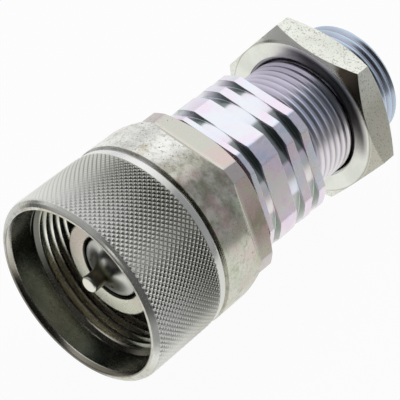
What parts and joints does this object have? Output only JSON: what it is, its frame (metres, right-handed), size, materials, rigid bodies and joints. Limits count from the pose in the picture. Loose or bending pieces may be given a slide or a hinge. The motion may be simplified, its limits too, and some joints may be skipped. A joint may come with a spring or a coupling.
{
  "type": "hydraulic quick coupler",
  "caption": "Screw-to-connect hydraulic coupler half: knurled union nut over a sprung poppet valve, grooved hexagon body, bulkhead thread with lock nut and tube cone.",
  "frame": {"origin": "on the coupler's axis, in the plane of the shoulder that seats against the panel", "axes": "+Y along the axis to the tube end, -Y out of the coupling mouth; +Z square to a flat of each hexagon, up when the part lies on its side; +X across"},
  "size_m": [0.0464, 0.0944, 0.0454],
  "materials": {
    "nut_zinc": "zinc plated and passivated, mottled, knurled grip, oily inside",
    "nose_zinc": "zinc plated, oil-stained, matt",
    "body_zinc": "bright blue-white zinc plate, satin",
    "lock_nut_zinc": "zinc plated, speckled, satin",
    "poppet_steel": "turned steel under a film of oil",
    "inner_steel": "turned steel, oiled",
    "spring_steel": "drawn spring wire, oiled",
    "seal_rubber": "moulded nitrile rubber, satin",
    "seal_plastic": "skived sealing plastic, waxy",
    "bearing_bronze": "turned bronze, oiled"
  },
  "bodies": {
    "coupler_body": {"rear_body": "body_zinc", "valve_body": "nose_zinc", "valve_guide": "inner_steel", "guide_circlip": "spring_steel", "valve_spring": "spring_steel", "nose_oring": "seal_rubber", "nose_backup_ring": "seal_plastic", "body_oring": "seal_rubber", "body_backup_ring": "seal_plastic", "nut_thrust_ring": "bearing_bronze"},
    "union_nut_group": {"union_nut": "nut_zinc", "nut_wiper_ring": "seal_rubber"},
    "poppet_group": {"poppet": "poppet_steel", "poppet_seal": "seal_plastic", "spring_plate": "inner_steel"},
    "lock_nut_group": {"lock_nut": "lock_nut_zinc"}
  },
  "joints": [
    {"name": "union_nut_spin", "type": "hinge", "parent": "coupler_body", "child": "union_nut_group", "pos_m": [0, -0.03, 0], "axis": [0, 1, 0], "continuous": true},
    {"name": "poppet_slide", "type": "slide", "parent": "coupler_body", "child": "poppet_group", "axis": [0, 1, 0], "range_m": [0, 0.006], "stiffness_N_per_m": 3000, "springref_m": -0.004, "deforming": ["valve_spring"]},
    {"name": "lock_nut_turn", "type": "hinge", "parent": "coupler_body", "child": "lock_nut_group", "pos_m": [0, 0.0194, 0], "axis": [0, 1, 0], "continuous": true}
  ]
}
